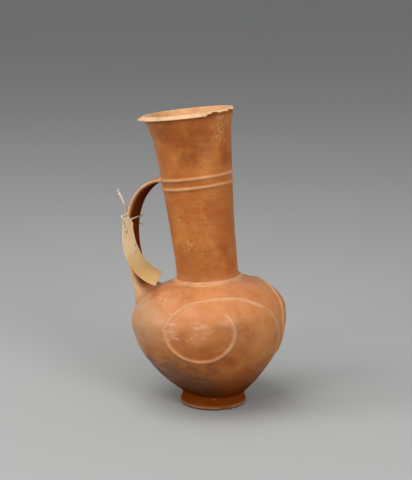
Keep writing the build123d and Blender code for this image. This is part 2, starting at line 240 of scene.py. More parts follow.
TAILS = {
    "string_tail_upper": (
        (-86.8, -4.0, 168.4), (-87.2, -6.4, 175.0),
        (-88.8, -8.8, 182.2), (-91.0, -10.4, 187.6),
    ),
    "string_tail_lower": (
        (-86.8, -2.2, 165.6), (-87.4, 3.0, 161.4),
        (-87.0, 9.0, 157.8), (-83.6, 14.4, 155.8),
    ),
}
TAIL_FULLNESS = 1.75
FRAY_FIBRES = 16
FRAY_LENGTH = 4.0
FRAY_SHORTEST = 0.6
FRAY_SPREAD = 0.9
FRAY_LEAN = 0.35
FRAY_RADII = (0.16, 0.05)
FIRST_SIDE = (0.3, 0.2, 0.93)

# Hand-made unevenness of the clay: size of the waves, their depth, and how flat they are squeezed
HAND_WAVES = ((45.0, 0.50, 1.0), (15.0, 0.17, 1.5), (6.0, 0.05, 3.5))

# Mesh steps, and counts of points and sides
STEP = 1.4
INNER_STEP = 3.0
FINE_STEP = 0.45
SEGMENTS = 400
RIDGE_POINTS = 25
COLLAR_POINTS = 26
STRAP_STEPS = 190
STRAP_POINTS = 88
COIL_STEPS = 420
COIL_POINTS = 23
TAG_ACROSS = 49
TAG_ALONG = 141
HOLE_SEGMENTS = 40
ROUTE_ORDER = 3
ROUTE_STEPS = 14
TUBE_SIDES = 8
KNOT_POINTS = 120
KNOT_SIDES = 10
FRAY_POINTS = 9
FRAY_SIDES = 5
TAIL_END_POINTS = 4
HALVINGS = 24
MERGE_DISTANCE = 0.01
SMOOTH_ANGLE = 38.0


def leaning(x, z, lean):
    """The axes, as columns, and the origin of a frame that leans by so many degrees towards the handle."""
    tilt = radians(lean)
    axes = np.array(((cos(tilt), 0, -sin(tilt)), (0, 1, 0), (sin(tilt), 0, cos(tilt))))
    return axes, np.array((x, 0.0, z))


def to_world(points, place):
    """Points of a leaning frame in the jug's frame."""
    axes, origin = place
    return points @ axes.T + origin


def to_local(points, place):
    """Points of the jug's frame in a leaning frame."""
    axes, origin = place
    return (points - origin) @ axes


BODY = leaning(GIRTH_X, GIRTH_HEIGHT, BODY_LEAN)
APEX = to_world(np.array((NECK_OFFSET, 0.0, SHOULDER_RISE)), BODY)
NECK = leaning(APEX[0], APEX[2], NECK_LEAN)
FOOT = leaning(0.0, 0.0, 0.0)


def straight(start, end, step):
    """Points along a line, both ends among them."""
    count = max(1, ceil(np.linalg.norm(np.subtract(end, start)) / step))
    return np.linspace(start, end, count + 1)


def arc_through(start, via, end, step):
    """Points along the circle through three points, from the first to the last."""
    a, b, c = (complex(*point) for point in (start, via, end))
    ratio = (c - a) / (b - a)
    centre = a + (b - a) * (ratio - abs(ratio) ** 2) / (2j * ratio.imag)
    spread = np.angle(ratio)
    sweep = np.angle((c - centre) / (a - centre))
    if sweep * spread < 0:
        sweep -= np.sign(sweep) * 2 * pi
    count = max(2, ceil(abs(sweep) * abs(a - centre) / step))
    turns = [centre + (a - centre) * np.exp(1j * sweep * i / count) for i in range(count + 1)]
    return np.array([(turn.real, turn.imag) for turn in turns])


def broken_line(points, step):
    """Points along straight lines from each of some points to the next."""
    return joined(*(straight(start, end, step) for start, end in zip(points, points[1:])))


def joined(*runs):
    """Runs of points as one profile, without the doubled points between them."""
    return np.concatenate((runs[0], *(run[1:] for run in runs[1:])))


def lathe(profile):
    """Rings of points round the Z axis, one for each point of a profile of radius and height."""
    turn = np.linspace(0, 2 * pi, SEGMENTS, endpoint=False)
    rows = np.empty((len(profile), SEGMENTS, 3))
    rows[..., 0] = profile[:, :1] * np.sin(turn)
    rows[..., 1] = profile[:, :1] * -np.cos(turn)
    rows[..., 2] = profile[:, 1:]
    return rows


def turn_of(points):
    """The turn of points about the Z axis, in degrees from -180 to 180."""
    return np.degrees(np.arctan2(points[..., 0], -points[..., 1]))


def radius_of(points):
    """The distances of points from the Z axis."""
    return np.hypot(points[..., 0], points[..., 1])


def drawn_in(points, scale):
    """Points with their distances from the Z axis scaled."""
    return points * np.stack((scale, scale, np.ones(scale.shape)), axis=-1)


def ringed(values):
    """Values at the points of a profile, repeated round its rings."""
    return np.repeat(values[:, None], SEGMENTS, axis=1)


def unit(vectors):
    """Vectors made one long."""
    return vectors / np.linalg.norm(vectors, axis=-1, keepdims=True)


def lengths_along(points):
    """The lengths along a line from its start to each of its points."""
    return np.concatenate(((0,), np.cumsum(np.linalg.norm(np.diff(points, axis=0), axis=1))))


def cubic(t, start, lead, trail, end):
    """Points at shares of a cubic curve with four control points."""
    s = 1 - t
    return s ** 3 * start + 3 * s ** 2 * t * lead + 3 * s * t ** 2 * trail + t ** 3 * end


def waves(points, size, squeeze=1.0):
    """Smooth noise from about -1 to 1 at points, with waves of a size."""
    scaled = (points / size * np.array((1.0, 1.0, squeeze))).reshape(-1, 3)
    values = [noise.noise(Vector(point)) for point in scaled.tolist()]
    return np.array(values).reshape(points.shape[:-1])


def uneven(rows, directions):
    """Rows of points moved in and out as a hand-built surface is."""
    height = sum(depth * waves(rows, size, squeeze) for size, depth, squeeze in HAND_WAVES)
    return rows + unit(directions) * height[..., None]


def hand_made(rows, place=None):
    """Rows of points made uneven from the axis of a leaning frame, or else from the middle of the body."""
    if place is None:
        return uneven(rows, rows - BODY[1])
    local = to_local(rows, place)
    local[..., 2] = 0
    return uneven(rows, local @ place[0].T)


def faces_between(rings, points, closed):
    """Quads between rings of points: a closed form joins the last to the first, others have end faces."""
    grid = np.arange(rings * points).reshape(rings, points)
    after = np.roll(grid, -1, axis=0)
    quads = np.stack((grid, np.roll(grid, -1, axis=1), np.roll(after, -1, axis=1), after), axis=-1)
    if closed:
        return quads.reshape(-1, 4).tolist()
    return quads[:-1].reshape(-1, 4).tolist() + [grid[0].tolist(), grid[-1].tolist()]


def clean_mesh(mesh, tubes):
    """Turns all faces outwards; all but tubes also lose doubled points and keep sharp edges."""
    work = bmesh.new()
    work.from_mesh(mesh)
    if not tubes:
        bmesh.ops.remove_doubles(work, verts=work.verts, dist=MERGE_DISTANCE * MM)
        loose = [edge for edge in work.edges if not edge.link_faces]
        bmesh.ops.delete(work, geom=loose, context="EDGES")
    bmesh.ops.recalc_face_normals(work, faces=work.faces)
    work.to_mesh(mesh)
    work.free()
    mesh.shade_smooth()
    if not tubes:
        mesh.set_sharp_from_angle(angle=radians(SMOOTH_ANGLE))


def linked(name, data):
    """A new object in the scene."""
    thing = bpy.data.objects.new(name, data)
    bpy.context.scene.collection.objects.link(thing)
    return thing


def evaluated_mesh(thing):
    """A new mesh of an object as it is shown."""
    graph = bpy.context.evaluated_depsgraph_get()
    return bpy.data.meshes.new_from_object(thing.evaluated_get(graph))


def make_piece(name, forms, material, closed=False, tubes=False, **marks):
    """A mesh piece from forms of rings in millimetres; marks, from 0 to 1, are kept on its points."""
    vertices, faces = [], []
    for rows in forms:
        start = len(vertices)
        vertices += (rows * MM).reshape(-1, 3).tolist()
        faces += [[start + i for i in face] for face in faces_between(*rows.shape[:2], closed)]
    mesh = bpy.data.meshes.new(name)
    mesh.from_pydata(vertices, [], faces)
    for mark, values in marks.items():
        layer = mesh.attributes.new(mark, "FLOAT", "POINT")
        layer.data.foreach_set("value", np.ascontiguousarray(values, dtype=np.float32).ravel())
    clean_mesh(mesh, tubes)
    mesh.materials.append(material)
    return linked(name, mesh)


def dress(piece, node, body="vessel"):
    """Puts a piece on its body in place of a CAD node, which is hidden."""
    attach(piece, body)
    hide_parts(node)


def clay_piece(name, node, slot, built, closed=True):
    """Makes a clay piece from its rows of points and their wear and shade, in place of its CAD node."""
    rows, *marks = built
    piece = make_piece(name, [rows], CLAYS[slot], closed, **dict(zip(("wear", "shade"), marks)))
    dress(piece, node)


# Forms of the clay


def bowl_side(inset, step=STEP):
    """The side of the bowl from the girth to its floor, smaller all round by the inset."""
    centre = np.array((GIRTH_RADIUS - BOWL_ROUND, 0.0))
    radius = BOWL_ROUND - inset
    turns = [radians(BOWL_ROUND_TURN * share) for share in (0, 0.5, 1)]
    start, via, bend = (centre + radius * np.array((cos(turn), -sin(turn))) for turn in turns)
    inward = (centre - bend) / radius
    floor_edge = np.array((BOWL_FLOOR_RADIUS, inset - BOWL_DEPTH))
    across = floor_edge - bend
    reach = across @ across / (2 * inward @ across)
    hub = bend + reach * inward
    middle = (bend + floor_edge) / 2 - hub
    lower_via = hub + middle / np.linalg.norm(middle) * reach
    return joined(arc_through(start, via, bend, step), arc_through(bend, lower_via, floor_edge, step))


def bowl_rows():
    """The bowl below the girth: its outside, its floor and its inside."""
    outside, inside = bowl_side(0), bowl_side(BODY_WALL, INNER_STEP)
    floor = straight(outside[-1], (0.0, -BOWL_DEPTH), INNER_STEP)
    inner_floor = straight((0.0, BODY_WALL - BOWL_DEPTH), inside[-1], INNER_STEP)
    profile = np.concatenate((joined(outside, floor), joined(inner_floor, inside[::-1])))
    rows = lathe(profile)
    rows[..., 0] -= BOWL_SAG * rows[..., 2]
    return hand_made(to_world(rows, BODY))


def shoulder_side(inset, step):
    """Rings of the shoulder from the girth to the hole for the neck, smaller all round by the inset."""
    radius, rise = GIRTH_RADIUS - inset, SHOULDER_RISE - inset
    steps = ceil((radius - SHOULDER_HOLE_RADIUS + rise) / step)
    lift = np.linspace(0, np.arccos(SHOULDER_HOLE_RADIUS / radius), steps)
    ring = radius * np.cos(lift)
    rows = lathe(np.stack((ring, ring), axis=1))
    shift = NECK_OFFSET * (radius - ring) / (radius - SHOULDER_HOLE_RADIUS)
    rows[..., 0] += shift[:, None]
    away = radius_of(rows) / radius
    rows[..., 2] = rise * np.sqrt(np.maximum(1 - away ** 2, 0))
    return to_world(rows, BODY)


def shoulder_rows():
    """The shoulder above the girth, outside and inside."""
    return hand_made(np.concatenate((shoulder_side(0, STEP), shoulder_side(BODY_WALL, INNER_STEP)[::-1])))


def neck_radius(height):
    """The outer radius of the neck at a height, by the parabola through its three set radii."""
    heights = (0.0, NECK_MID_HEIGHT, NECK_TOP_HEIGHT)
    curve = np.polyfit(heights, (NECK_BASE_RADIUS, NECK_MID_RADIUS, NECK_TOP_RADIUS), 2)
    return np.polyval(curve, height)


def neck_profile():
    """The neck and mouth in section: up the outside, over the lip and down the inside, with lip wear."""
    start = np.array((NECK_TOP_RADIUS, NECK_TOP_HEIGHT))
    throat = np.array((MOUTH_THROAT_RADIUS, LIP_UNDERSIDE))
    hollow = np.array((-FLARE_HOLLOW, 0.0))
    lip_low = np.array((LIP_RADIUS, LIP_UNDERSIDE + LIP_EDGE / 2))
    lip_high = lip_low + (0, LIP_EDGE)
    crest_out = np.array((LIP_TOP_RADIUS, LIP_HEIGHT))
    crest_in = crest_out - (LIP_TOP_WIDTH, 0)
    inner = start - (NECK_WALL, 0)
    base = (NECK_BASE_RADIUS, 0.0)
    outside = joined(
        straight((NECK_BASE_RADIUS, -NECK_TENON), base, STEP),
        arc_through(base, (NECK_MID_RADIUS, NECK_MID_HEIGHT), start, STEP),
        arc_through(start, (start + throat) / 2 + hollow, throat, STEP),
    )
    lip = broken_line((throat, lip_low, lip_high, crest_out, crest_in), FINE_STEP)
    inside = joined(
        arc_through(crest_in, (inner + crest_in) / 2 + hollow, inner, STEP),
        arc_through(
            inner,
            (NECK_MID_RADIUS - NECK_WALL, NECK_MID_HEIGHT),
            (NECK_BASE_RADIUS - NECK_WALL, -NECK_TENON),
            INNER_STEP,
        ),
    )
    profile = joined(outside, lip, inside)
    worn = np.clip((profile[:, 1] - LIP_UNDERSIDE - LIP_EDGE / 4) / LIP_EDGE, 0, 1)
    pale = np.clip((profile[:, 1] - NECK_TOP_HEIGHT) / PALE_MOUTH_DEPTH, 0, 1)
    within = np.arange(len(profile)) >= len(profile) - len(inside)
    return profile, np.where(within, PALE_MOUTH * pale, worn)


def softened(profile):
    """A closed profile with its corners worn down by averaging."""
    return profile / 2 + (np.roll(profile, 1, axis=0) + np.roll(profile, -1, axis=0)) / 4


def bitten(rows, wear):
    """The neck's rings with its lip bitten, broken off straight and flaked; its wear and the painted shade
    on its breaks.
    """
    turn, height = turn_of(rows), rows[..., 2]
    coarse, fine = (waves(rows, size) * BITE_ROUGHNESS for size in BITE_GRAINS)
    grain = coarse + fine / 3
    depth = np.zeros(turn.shape)
    for bite in LIP_BITES:
        away = np.abs(turn - bite["turn"]) / bite["half_turn"]
        depth = np.maximum(depth, bite["depth"] * np.sqrt(np.maximum(1 - away ** 2, 0)))
    limit = LIP_RADIUS - depth - BITE_SLOPE * (height - LIP_UNDERSIDE) + grain
    limit = np.where(depth > BITE_LEAST, limit, 2 * LIP_RADIUS)
    straight_off = LIP_BREAK["away"] - BITE_SLOPE * (height - LIP_HEIGHT) + grain
    facing = np.cos(np.radians(turn - LIP_BREAK["turn"]))
    straight_off = straight_off / np.maximum(facing, LIP_BREAK["least_facing"])
    limit = np.where(facing > LIP_BREAK["least_facing"], np.minimum(limit, straight_off), limit)
    radius = radius_of(rows)
    broken = (radius > limit) & (height > LIP_UNDERSIDE - LIP_EDGE)
    across = (turn - FLAKE["turn"]) / FLAKE["half_turn"]
    up = (height - FLAKE["height"]) / FLAKE["half_height"]
    outside = radius > neck_radius(np.minimum(height, NECK_TOP_HEIGHT)) - NECK_WALL / 3
    flaked = np.clip(FLAKE["sharpness"] * (1 - across ** 2 - up ** 2 + grain), 0, 1)
    flaked = flaked * outside * (height < LIP_UNDERSIDE)
    rows = drawn_in(rows, np.where(broken, limit, radius - FLAKE["depth"] * flaked) / radius)
    wear = np.where(broken, 0.0, np.maximum(wear, FLAKE["paleness"] * flaked))
    return rows, wear, np.where(broken, BITE_SHADE, 0.0)


def neck_rows():
    """The neck with its sagging, bitten mouth, its wear and the painted shade on its breaks."""
    profile, wear = neck_profile()
    rows, wear, shade = bitten(lathe(softened(profile)), ringed(wear))
    rows[..., 0] -= MOUTH_SAG * np.maximum(rows[..., 2] - NECK_TOP_HEIGHT, 0)
    return hand_made(to_world(rows, NECK), NECK), wear, shade


def crest(across, half_width):
    """A rounded crest: 1 in the middle, falling to nothing at the sides."""
    return np.exp(-(across / half_width) ** 2)


def ridge_rows(height):
    """A low band of clay round the neck with soft edges, and its wear."""
    across = np.linspace(-RIDGE_SPAN, RIDGE_SPAN, RIDGE_POINTS)
    rise = crest(across, RIDGE_HALF_HEIGHT)
    radius = neck_radius(height + across) - BAND_SUNK + (RIDGE_PROUD + BAND_SUNK) * rise
    back = neck_radius(height + across[::-1]) - BAND_BACK
    profile = np.concatenate((np.stack((radius, across), 1), np.stack((back, across[::-1]), 1)))
    rows = lathe(profile)
    rows[..., 2] += height + rows[..., 0] * tan(radians(RIDGE_TILT))
    return hand_made(to_world(rows, NECK), NECK), ringed(np.concatenate((rise, 0 * rise)))


def collar_rows():
    """The roll of clay over the joint of neck and shoulder, its wear and painted shade in the crease below
    it.
    """
    reach = np.linspace(NECK_BASE_RADIUS - COLLAR_INSIDE, COLLAR_SPREAD, COLLAR_POINTS)
    away = reach - COLLAR_CREST
    rise = crest(away, np.where(away < 0, COLLAR_ROLL, COLLAR_FALL))
    top = lathe(np.stack((reach, 0 * reach), 1))
    local = to_local(to_world(top, NECK), BODY)
    dome = SHOULDER_RISE * np.sqrt(1 - (radius_of(local) / GIRTH_RADIUS) ** 2)
    local[..., 2] = dome - BAND_SUNK + (COLLAR_UP + BAND_SUNK) * rise[:, None]
    back = local[::-1].copy()
    back[..., 2] = dome[::-1] - BAND_BACK
    wear = np.concatenate((COLLAR_WEAR * crest(away, 2 * COLLAR_FALL), 0 * reach))
    crease = COLLAR_CREASE["darkness"] * crest(away - COLLAR_CREASE["away"], COLLAR_CREASE["half_width"])
    shade = np.concatenate((crease, 0 * reach))
    rows = to_world(np.concatenate((local, back)), BODY)
    return hand_made(rows, NECK), ringed(wear), ringed(shade)


def bowl_radius(up):
    """The outer radius of the bowl at heights below the girth, counted from it."""
    side = bowl_side(0)
    return np.interp(-np.asarray(up), -side[:, 1], side[:, 0])


def under_bowl(rows):
    """The height of the bowl's underside over points on the floor."""
    low, high = np.zeros(rows.shape[:2]), np.full(rows.shape[:2], GIRTH_HEIGHT)
    for _ in range(HALVINGS):
        middle = (low + high) / 2
        local = to_local(np.stack((rows[..., 0], rows[..., 1], middle), axis=-1), BODY)
        away = np.hypot(local[..., 0] + BOWL_SAG * local[..., 2], local[..., 1])
        inside = (local[..., 2] > -BOWL_DEPTH) & (away < bowl_radius(local[..., 2]))
        high = np.where(inside, middle, high)
        low = np.where(inside, low, middle)
    return high


def foot_rows():
    """The ring foot, its top sunk a little into the bowl, with a nick in its edge; and its wear."""
    floor_edge = (FOOT_RADIUS - FOOT_EDGE, 0.0)
    edge = (FOOT_RADIUS, FOOT_EDGE)
    corner = FOOT_EDGE * (1 - sin(pi / 4))
    join = (FOOT_JOIN_RADIUS, FOOT_JOIN_HEIGHT)
    recess_top = (FOOT_RECESS_RADIUS - FOOT_RECESS_TAPER, FOOT_JOIN_HEIGHT)
    recess = (FOOT_RECESS_RADIUS, 0.0)
    profile = joined(
        straight(recess, floor_edge, FINE_STEP),
        arc_through(floor_edge, (FOOT_RADIUS - corner, corner), edge, FINE_STEP),
        arc_through(edge, (FOOT_WAIST_RADIUS, FOOT_WAIST_HEIGHT), join, FINE_STEP),
        broken_line((join, recess_top, recess), STEP),
    )
    rows = lathe(profile)
    rows[..., 2] = np.minimum(rows[..., 2], under_bowl(rows) + FOOT_SUNK)
    away = np.abs(turn_of(rows) - FOOT_NICK["turn"]) / FOOT_NICK["half_turn"]
    low = np.clip(1 - rows[..., 2] / FOOT_NICK["height"], 0, 1)
    depth = FOOT_NICK["depth"] * np.sqrt(np.maximum(1 - away ** 2, 0)) * np.sqrt(low)
    radius = radius_of(rows)
    limit = FOOT_RADIUS - depth + waves(rows, FOOT_NICK["grain"]) * BITE_ROUGHNESS / 2
    nicked = (depth > FOOT_NICK["least"]) & (radius > limit)
    rows = drawn_in(rows, np.where(nicked, limit / radius, 1.0))
    worn = crest(profile[:, 1] - FOOT_EDGE, FOOT_EDGE / 2) * (profile[:, 0] > FOOT_RADIUS - FOOT_EDGE)
    return hand_made(rows, FOOT), ringed(FOOT_WEAR * worn)


def handle_line(shares):
    """Points of the middle line of the strap at shares of its curve, and its directions there."""
    neck_x = NECK[1][0] - (HANDLE_TOP_HEIGHT - NECK[1][2]) * tan(radians(NECK_LEAN))
    foot_radius = GIRTH_RADIUS * sqrt(1 - (HANDLE_FOOT_UP / SHOULDER_RISE) ** 2) - HANDLE_FOOT_DEPTH
    foot = to_world(np.array((-foot_radius, 0.0, HANDLE_FOOT_UP)), BODY)
    top = np.array((neck_x - NECK_MID_RADIUS + HANDLE_TOP_DEPTH, 0.0, HANDLE_TOP_HEIGHT))
    reach = np.array((neck_x - NECK_MID_RADIUS - HANDLE_REACH, 0.0, HANDLE_TOP_HEIGHT))
    bulge = np.array((foot[0] - HANDLE_BULGE, 0.0, HANDLE_BULGE_HEIGHT))
    t = shares[:, None]
    s = 1 - t
    ways = s ** 2 * (reach - top) + 2 * s * t * (bulge - reach) + t ** 2 * (foot - bulge)
    return cubic(t, top, reach, bulge, foot), unit(ways)


def strap_width(shares):
    """The width of the strap: wide at both roots, narrow at the waist."""
    upper = shares < HANDLE_WAIST_AT
    away = np.abs(shares - HANDLE_WAIST_AT) / np.where(upper, HANDLE_WAIST_AT, 1 - HANDLE_WAIST_AT)
    root = np.where(upper, HANDLE_TOP_WIDTH, HANDLE_FOOT_WIDTH)
    return HANDLE_WAIST_WIDTH + (root - HANDLE_WAIST_WIDTH) * away ** HANDLE_SWELL


def above_neck(points):
    """How far points stand out from the neck."""
    local = to_local(points, NECK)
    return radius_of(local) - neck_radius(local[..., 2])


def above_shoulder(points):
    """How far points stand out from the shoulder, about."""
    reach = np.array((GIRTH_RADIUS, GIRTH_RADIUS, SHOULDER_RISE))
    scaled = to_local(points, BODY) / reach
    slope = 2 * scaled / reach
    return ((scaled ** 2).sum(-1) - 1) / np.linalg.norm(slope, axis=-1)


def out_of_neck(points):
    """Points with those inside the neck moved out into its wall."""
    local = to_local(points, NECK)
    stretch = np.maximum(1, (neck_radius(local[..., 2]) - NECK_WALL / 2) / radius_of(local))
    return to_world(drawn_in(local, stretch), NECK)


def smear(gap, reach):
    """How far clay is smeared out beside a joint, at a gap from the surface that it is pressed on."""
    return np.maximum(reach - np.maximum(gap, -SMEAR_SINK), 0) ** 2 / (2 * reach)


def strap_rows():
    """The strap handle with rounded edges and smeared roots, its wear and painted shade on its inner side.
    """
    shares = np.linspace(0, 1, STRAP_STEPS)
    line, ways = handle_line(shares)
    turns = np.linspace(0, 2 * pi, STRAP_POINTS, endpoint=False)
    side, up = np.cos(turns), np.sin(turns)
    power = 2 / HANDLE_SQUARENESS
    flat = np.sign(side) * np.abs(side) ** power
    thick = np.sign(up) * np.abs(up) ** power
    inward = np.stack((-ways[:, 2], np.zeros(len(ways)), ways[:, 0]), axis=1)[:, None, :]
    sideways = np.array((0.0, 1.0, 0.0))
    grown = np.clip(shares / HANDLE_END_SHARE, HANDLE_END_SHARE, 1)
    half = (grown * strap_width(shares))[:, None] / 2
    near_root = np.clip(1 - above_shoulder(line) / HANDLE_ROOT_HEIGHT, 0, 1)
    root = HANDLE_ROOT_DEPTH * near_root[:, None] ** HANDLE_ROOT_POWER * np.maximum(thick, 0)
    depth = thick * HANDLE_THICKNESS / 2 + root
    rows = line[:, None, :] + (flat * half)[..., None] * sideways + depth[..., None] * inward
    lift = side[:, None] * sideways + up[:, None] * inward
    gap = above_shoulder(rows)
    hold = np.interp(up, HANDLE_HOLD, (HANDLE_SMEAR_OUTSIDE, 1.0))
    spread = smear(above_neck(rows), HANDLE_SMEAR_NECK) + hold * smear(gap, HANDLE_SMEAR_SHOULDER)
    rows = uneven(out_of_neck(rows + lift * spread[..., None]), lift)
    edges = crest(up, HANDLE_EDGE) * (np.abs(side) > HANDLE_EDGE)
    clear = np.clip(gap / HANDLE_SMEAR_SHOULDER, 0, 1)
    inner = np.clip(INNER_SHADE_SLOPE * up - INNER_SHADE_START, 0, 1)
    return rows, edges * clear, inner * clear


def scroll_line(arm):
    """Places on the rolled-out girth along a scroll: once round its loop, then over and down its arm."""
    share = np.linspace(0, 1, COIL_STEPS)
    angle = np.radians(LOOP_START - LOOP_TURN * np.minimum(share / LOOP_SHARE, 1))
    centre, half = np.array(LOOP_CENTRE), np.array(LOOP_HALF)
    loop = centre + half * np.stack((np.cos(angle), np.sin(angle)), axis=1)
    top = centre + half * (0, 1)
    t = np.clip((share - LOOP_SHARE) / (1 - LOOP_SHARE), 0, 1)[:, None]
    line = cubic(t, top, top + np.array(ARM_LEAD), *(np.array(place) for place in arm))
    return np.where(t > 0, line, loop)


def on_body(places, side):
    """Points of the body's surface at places on the rolled-out girth."""
    along, up = places[:, 0], places[:, 1]
    over = GIRTH_RADIUS * np.sqrt(np.maximum(1 - (up / SHOULDER_RISE) ** 2, 0))
    radius = np.where(up > 0, over, bowl_radius(np.minimum(up, 0)))
    sag = -BOWL_SAG * np.minimum(up, 0)
    turn = along / GIRTH_RADIUS
    return to_world(np.stack((radius * np.sin(turn) + sag, side * radius * np.cos(turn), up), 1), BODY)


def scroll_rows(side, arm):
    """A clay coil pressed on the body in a scroll, with soft sides and thin ends; and its wear."""
    places = scroll_line(arm)
    line = on_body(places, side)
    along = on_body(places + (COIL_NUDGE, 0), side) - line
    up = on_body(places + (0, COIL_NUDGE), side) - line
    normal = unit(np.cross(along, up))
    normal *= np.sign((normal * (line - BODY[1])).sum(1, keepdims=True))
    sideways = np.cross(normal, unit(np.gradient(line, axis=0)))
    lengths = lengths_along(line)
    to_end = np.minimum(lengths, lengths[-1] - lengths)
    taper = np.sqrt(np.clip(to_end / COIL_TAPER, 0, 1))
    pressed = 1 + sum(depth * waves(line, size) for size, depth in COIL_PRESS)
    across = np.linspace(-COIL_SKIRT, COIL_SKIRT, COIL_POINTS)
    rise = crest(across, COIL_HALF_WIDTH)
    top = -COIL_SUNK + (COIL_PROUD + COIL_SUNK) * rise * (taper * pressed)[:, None]
    back = np.full(top.shape, -COIL_BACK)
    offset = np.concatenate((across, across[::-1]))
    height = np.concatenate((top, back), axis=1)
    rows = line[:, None, :] + offset[None, :, None] * sideways[:, None, :]
    rows = rows + height[..., None] * normal[:, None, :]
    wear = np.concatenate((taper[:, None] * rise, 0 * back), axis=1)
    return hand_made(rows), wear


# Card and string


def tag_rows():
    """The curled, twisted card with its trimmed corner, as rings round its thickness."""
    length = TAG_STRAIGHT + TAG_CURL_RADIUS * radians(TAG_CURL_TURN)
    across = np.linspace(0, TAG_WIDTH, TAG_ACROSS)
    first = np.clip((across - TAG_WIDTH + TAG_TRIM[0]) / TAG_TRIM[0], 0, 1) * TAG_TRIM[1]
    last = length + np.interp(across, (0, TAG_WIDTH), TAG_SKEW)
    share = np.linspace(0, 1, TAG_ALONG)[:, None]
    along = first + (last - first) * share
    bend = np.maximum(along - TAG_STRAIGHT, 0) / TAG_CURL_RADIUS
    x = TAG_BACK_X + TAG_CURL_RADIUS * (1 - np.cos(bend))
    z = TAG_TOP - np.minimum(along, TAG_STRAIGHT) - TAG_CURL_RADIUS * np.sin(bend)
    twisted = np.clip((along - TAG_STRAIGHT / 2) / (length - TAG_STRAIGHT / 2), 0, 1)
    twist = radians(TAG_TWIST) * twisted ** TAG_TWIST_POWER
    tapered = np.clip(TAG_TAPER_REACH - along / TAG_STRAIGHT, 0, 1)
    across = across * (1 - TAG_TAPER / TAG_WIDTH * tapered)
    lift = across * np.sin(twist)
    normal = np.stack((np.cos(bend), 0 * bend, np.sin(bend)), axis=-1)
    middle = np.stack((x, TAG_NEAR_EDGE + across * np.cos(twist), z), axis=-1)
    middle += normal * (lift + TAG_BUCKLE * waves(middle, TAG_BUCKLE_SIZE))[..., None]
    front = middle + normal * TAG_THICKNESS
    return np.concatenate((middle, front[:, ::-1]), axis=1)


def bore(piece):
    """Cuts the tag's round hole, along X, through a piece."""
    work = bmesh.new()
    sizes = {key: TAG_HOLE_RADIUS * MM for key in ("radius1", "radius2")}
    bmesh.ops.create_cone(work, cap_ends=True, segments=HOLE_SEGMENTS, depth=HOLE_TOOL_DEPTH * MM, **sizes)
    tool_mesh = bpy.data.meshes.new("hole_tool")
    work.to_mesh(tool_mesh)
    work.free()
    tool = linked("hole_tool", tool_mesh)
    tool.rotation_euler = (0, pi / 2, 0)
    tool.location = Vector(TAG_HOLE) * MM
    cut = piece.modifiers.new("hole", "BOOLEAN")
    cut.object = tool
    cut.solver = "EXACT"
    holed = evaluated_mesh(piece)
    piece.modifiers.clear()
    piece.data = holed
    bpy.data.objects.remove(tool)


def smooth_line(name, route):
    """Points along the smooth line that a route's points control, in millimetres."""
    curve = bpy.data.curves.new(name, "CURVE")
    curve.dimensions = "3D"
    spline = curve.splines.new("NURBS")
    spline.points.add(len(route) - 1)
    for point, place in zip(spline.points, route):
        point.co = (*place, 1)
    spline.order_u = ROUTE_ORDER
    spline.use_endpoint_u = True
    spline.resolution_u = ROUTE_STEPS
    line = linked(name, curve)
    points = np.array([tuple(vertex.co) for vertex in evaluated_mesh(line).vertices])
    bpy.data.objects.remove(line)
    return points


def across_line(points):
    """Two directions square to a line at each of its points, turning as little as they can."""
    ways = unit(np.gradient(points, axis=0))
    side = np.cross(ways[0], FIRST_SIDE)
    sides = []
    for way in ways:
        side = unit(side - way * (side @ way))
        sides.append(side)
    sides = np.array(sides)
    return sides, np.cross(ways, sides)


def tube_rows(points, radius, sides=TUBE_SIDES):
    """Rings of a tube along a line; radius is one number or one for each point."""
    side, up = across_line(points)
    turns = np.linspace(0, 2 * pi, sides, endpoint=False)[None, :, None]
    ring = np.cos(turns) * side[:, None, :] + np.sin(turns) * up[:, None, :]
    return points[:, None, :] + ring * np.broadcast_to(radius, len(points))[:, None, None]


def ply_lines(points):
    """The lines of the plies that are twisted into a string along a line."""
    side, up = across_line(points)
    lengths = lengths_along(points)
    for ply in range(STRING_PLIES):
        turn = 2 * pi * (lengths / STRING_PITCH + ply / STRING_PLIES)[:, None]
        yield points + PLY_OFFSET * (np.cos(turn) * side + np.sin(turn) * up)


def fray_lines(end, way, seed):
    """Short loose fibres at the end of a string."""
    draw = np.random.default_rng(seed)
    for _ in range(FRAY_FIBRES):
        lean = way + draw.normal(0, FRAY_SPREAD * FRAY_LEAN, 3)
        bend = draw.normal(0, FRAY_SPREAD, 3)
        share = np.linspace(0, 1, FRAY_POINTS)[:, None]
        reach = FRAY_LENGTH * draw.uniform(FRAY_SHORTEST, 1.0)
        yield end + share * lean * reach + share ** 2 * bend


def knot_line():
    """The line of the knot: a closed overhand knot pulled small."""
    t = np.linspace(0, 2 * pi, KNOT_POINTS)
    shape = np.stack((np.sin(3 * t), np.sin(t) + 2 * np.sin(2 * t), np.cos(t) - 2 * np.cos(2 * t)), axis=1)
    return np.array(KNOT_PLACE) + shape * KNOT_SIZE * np.array(KNOT_STRETCH)


# Materials: tints are display colours, and sizes, depths, heights and places are in millimetres

NEAR_BAND = (0.2, 0.8)
NEAR_RAGGED = 0.4
NEAR_FADE = (1.15, 0.15)

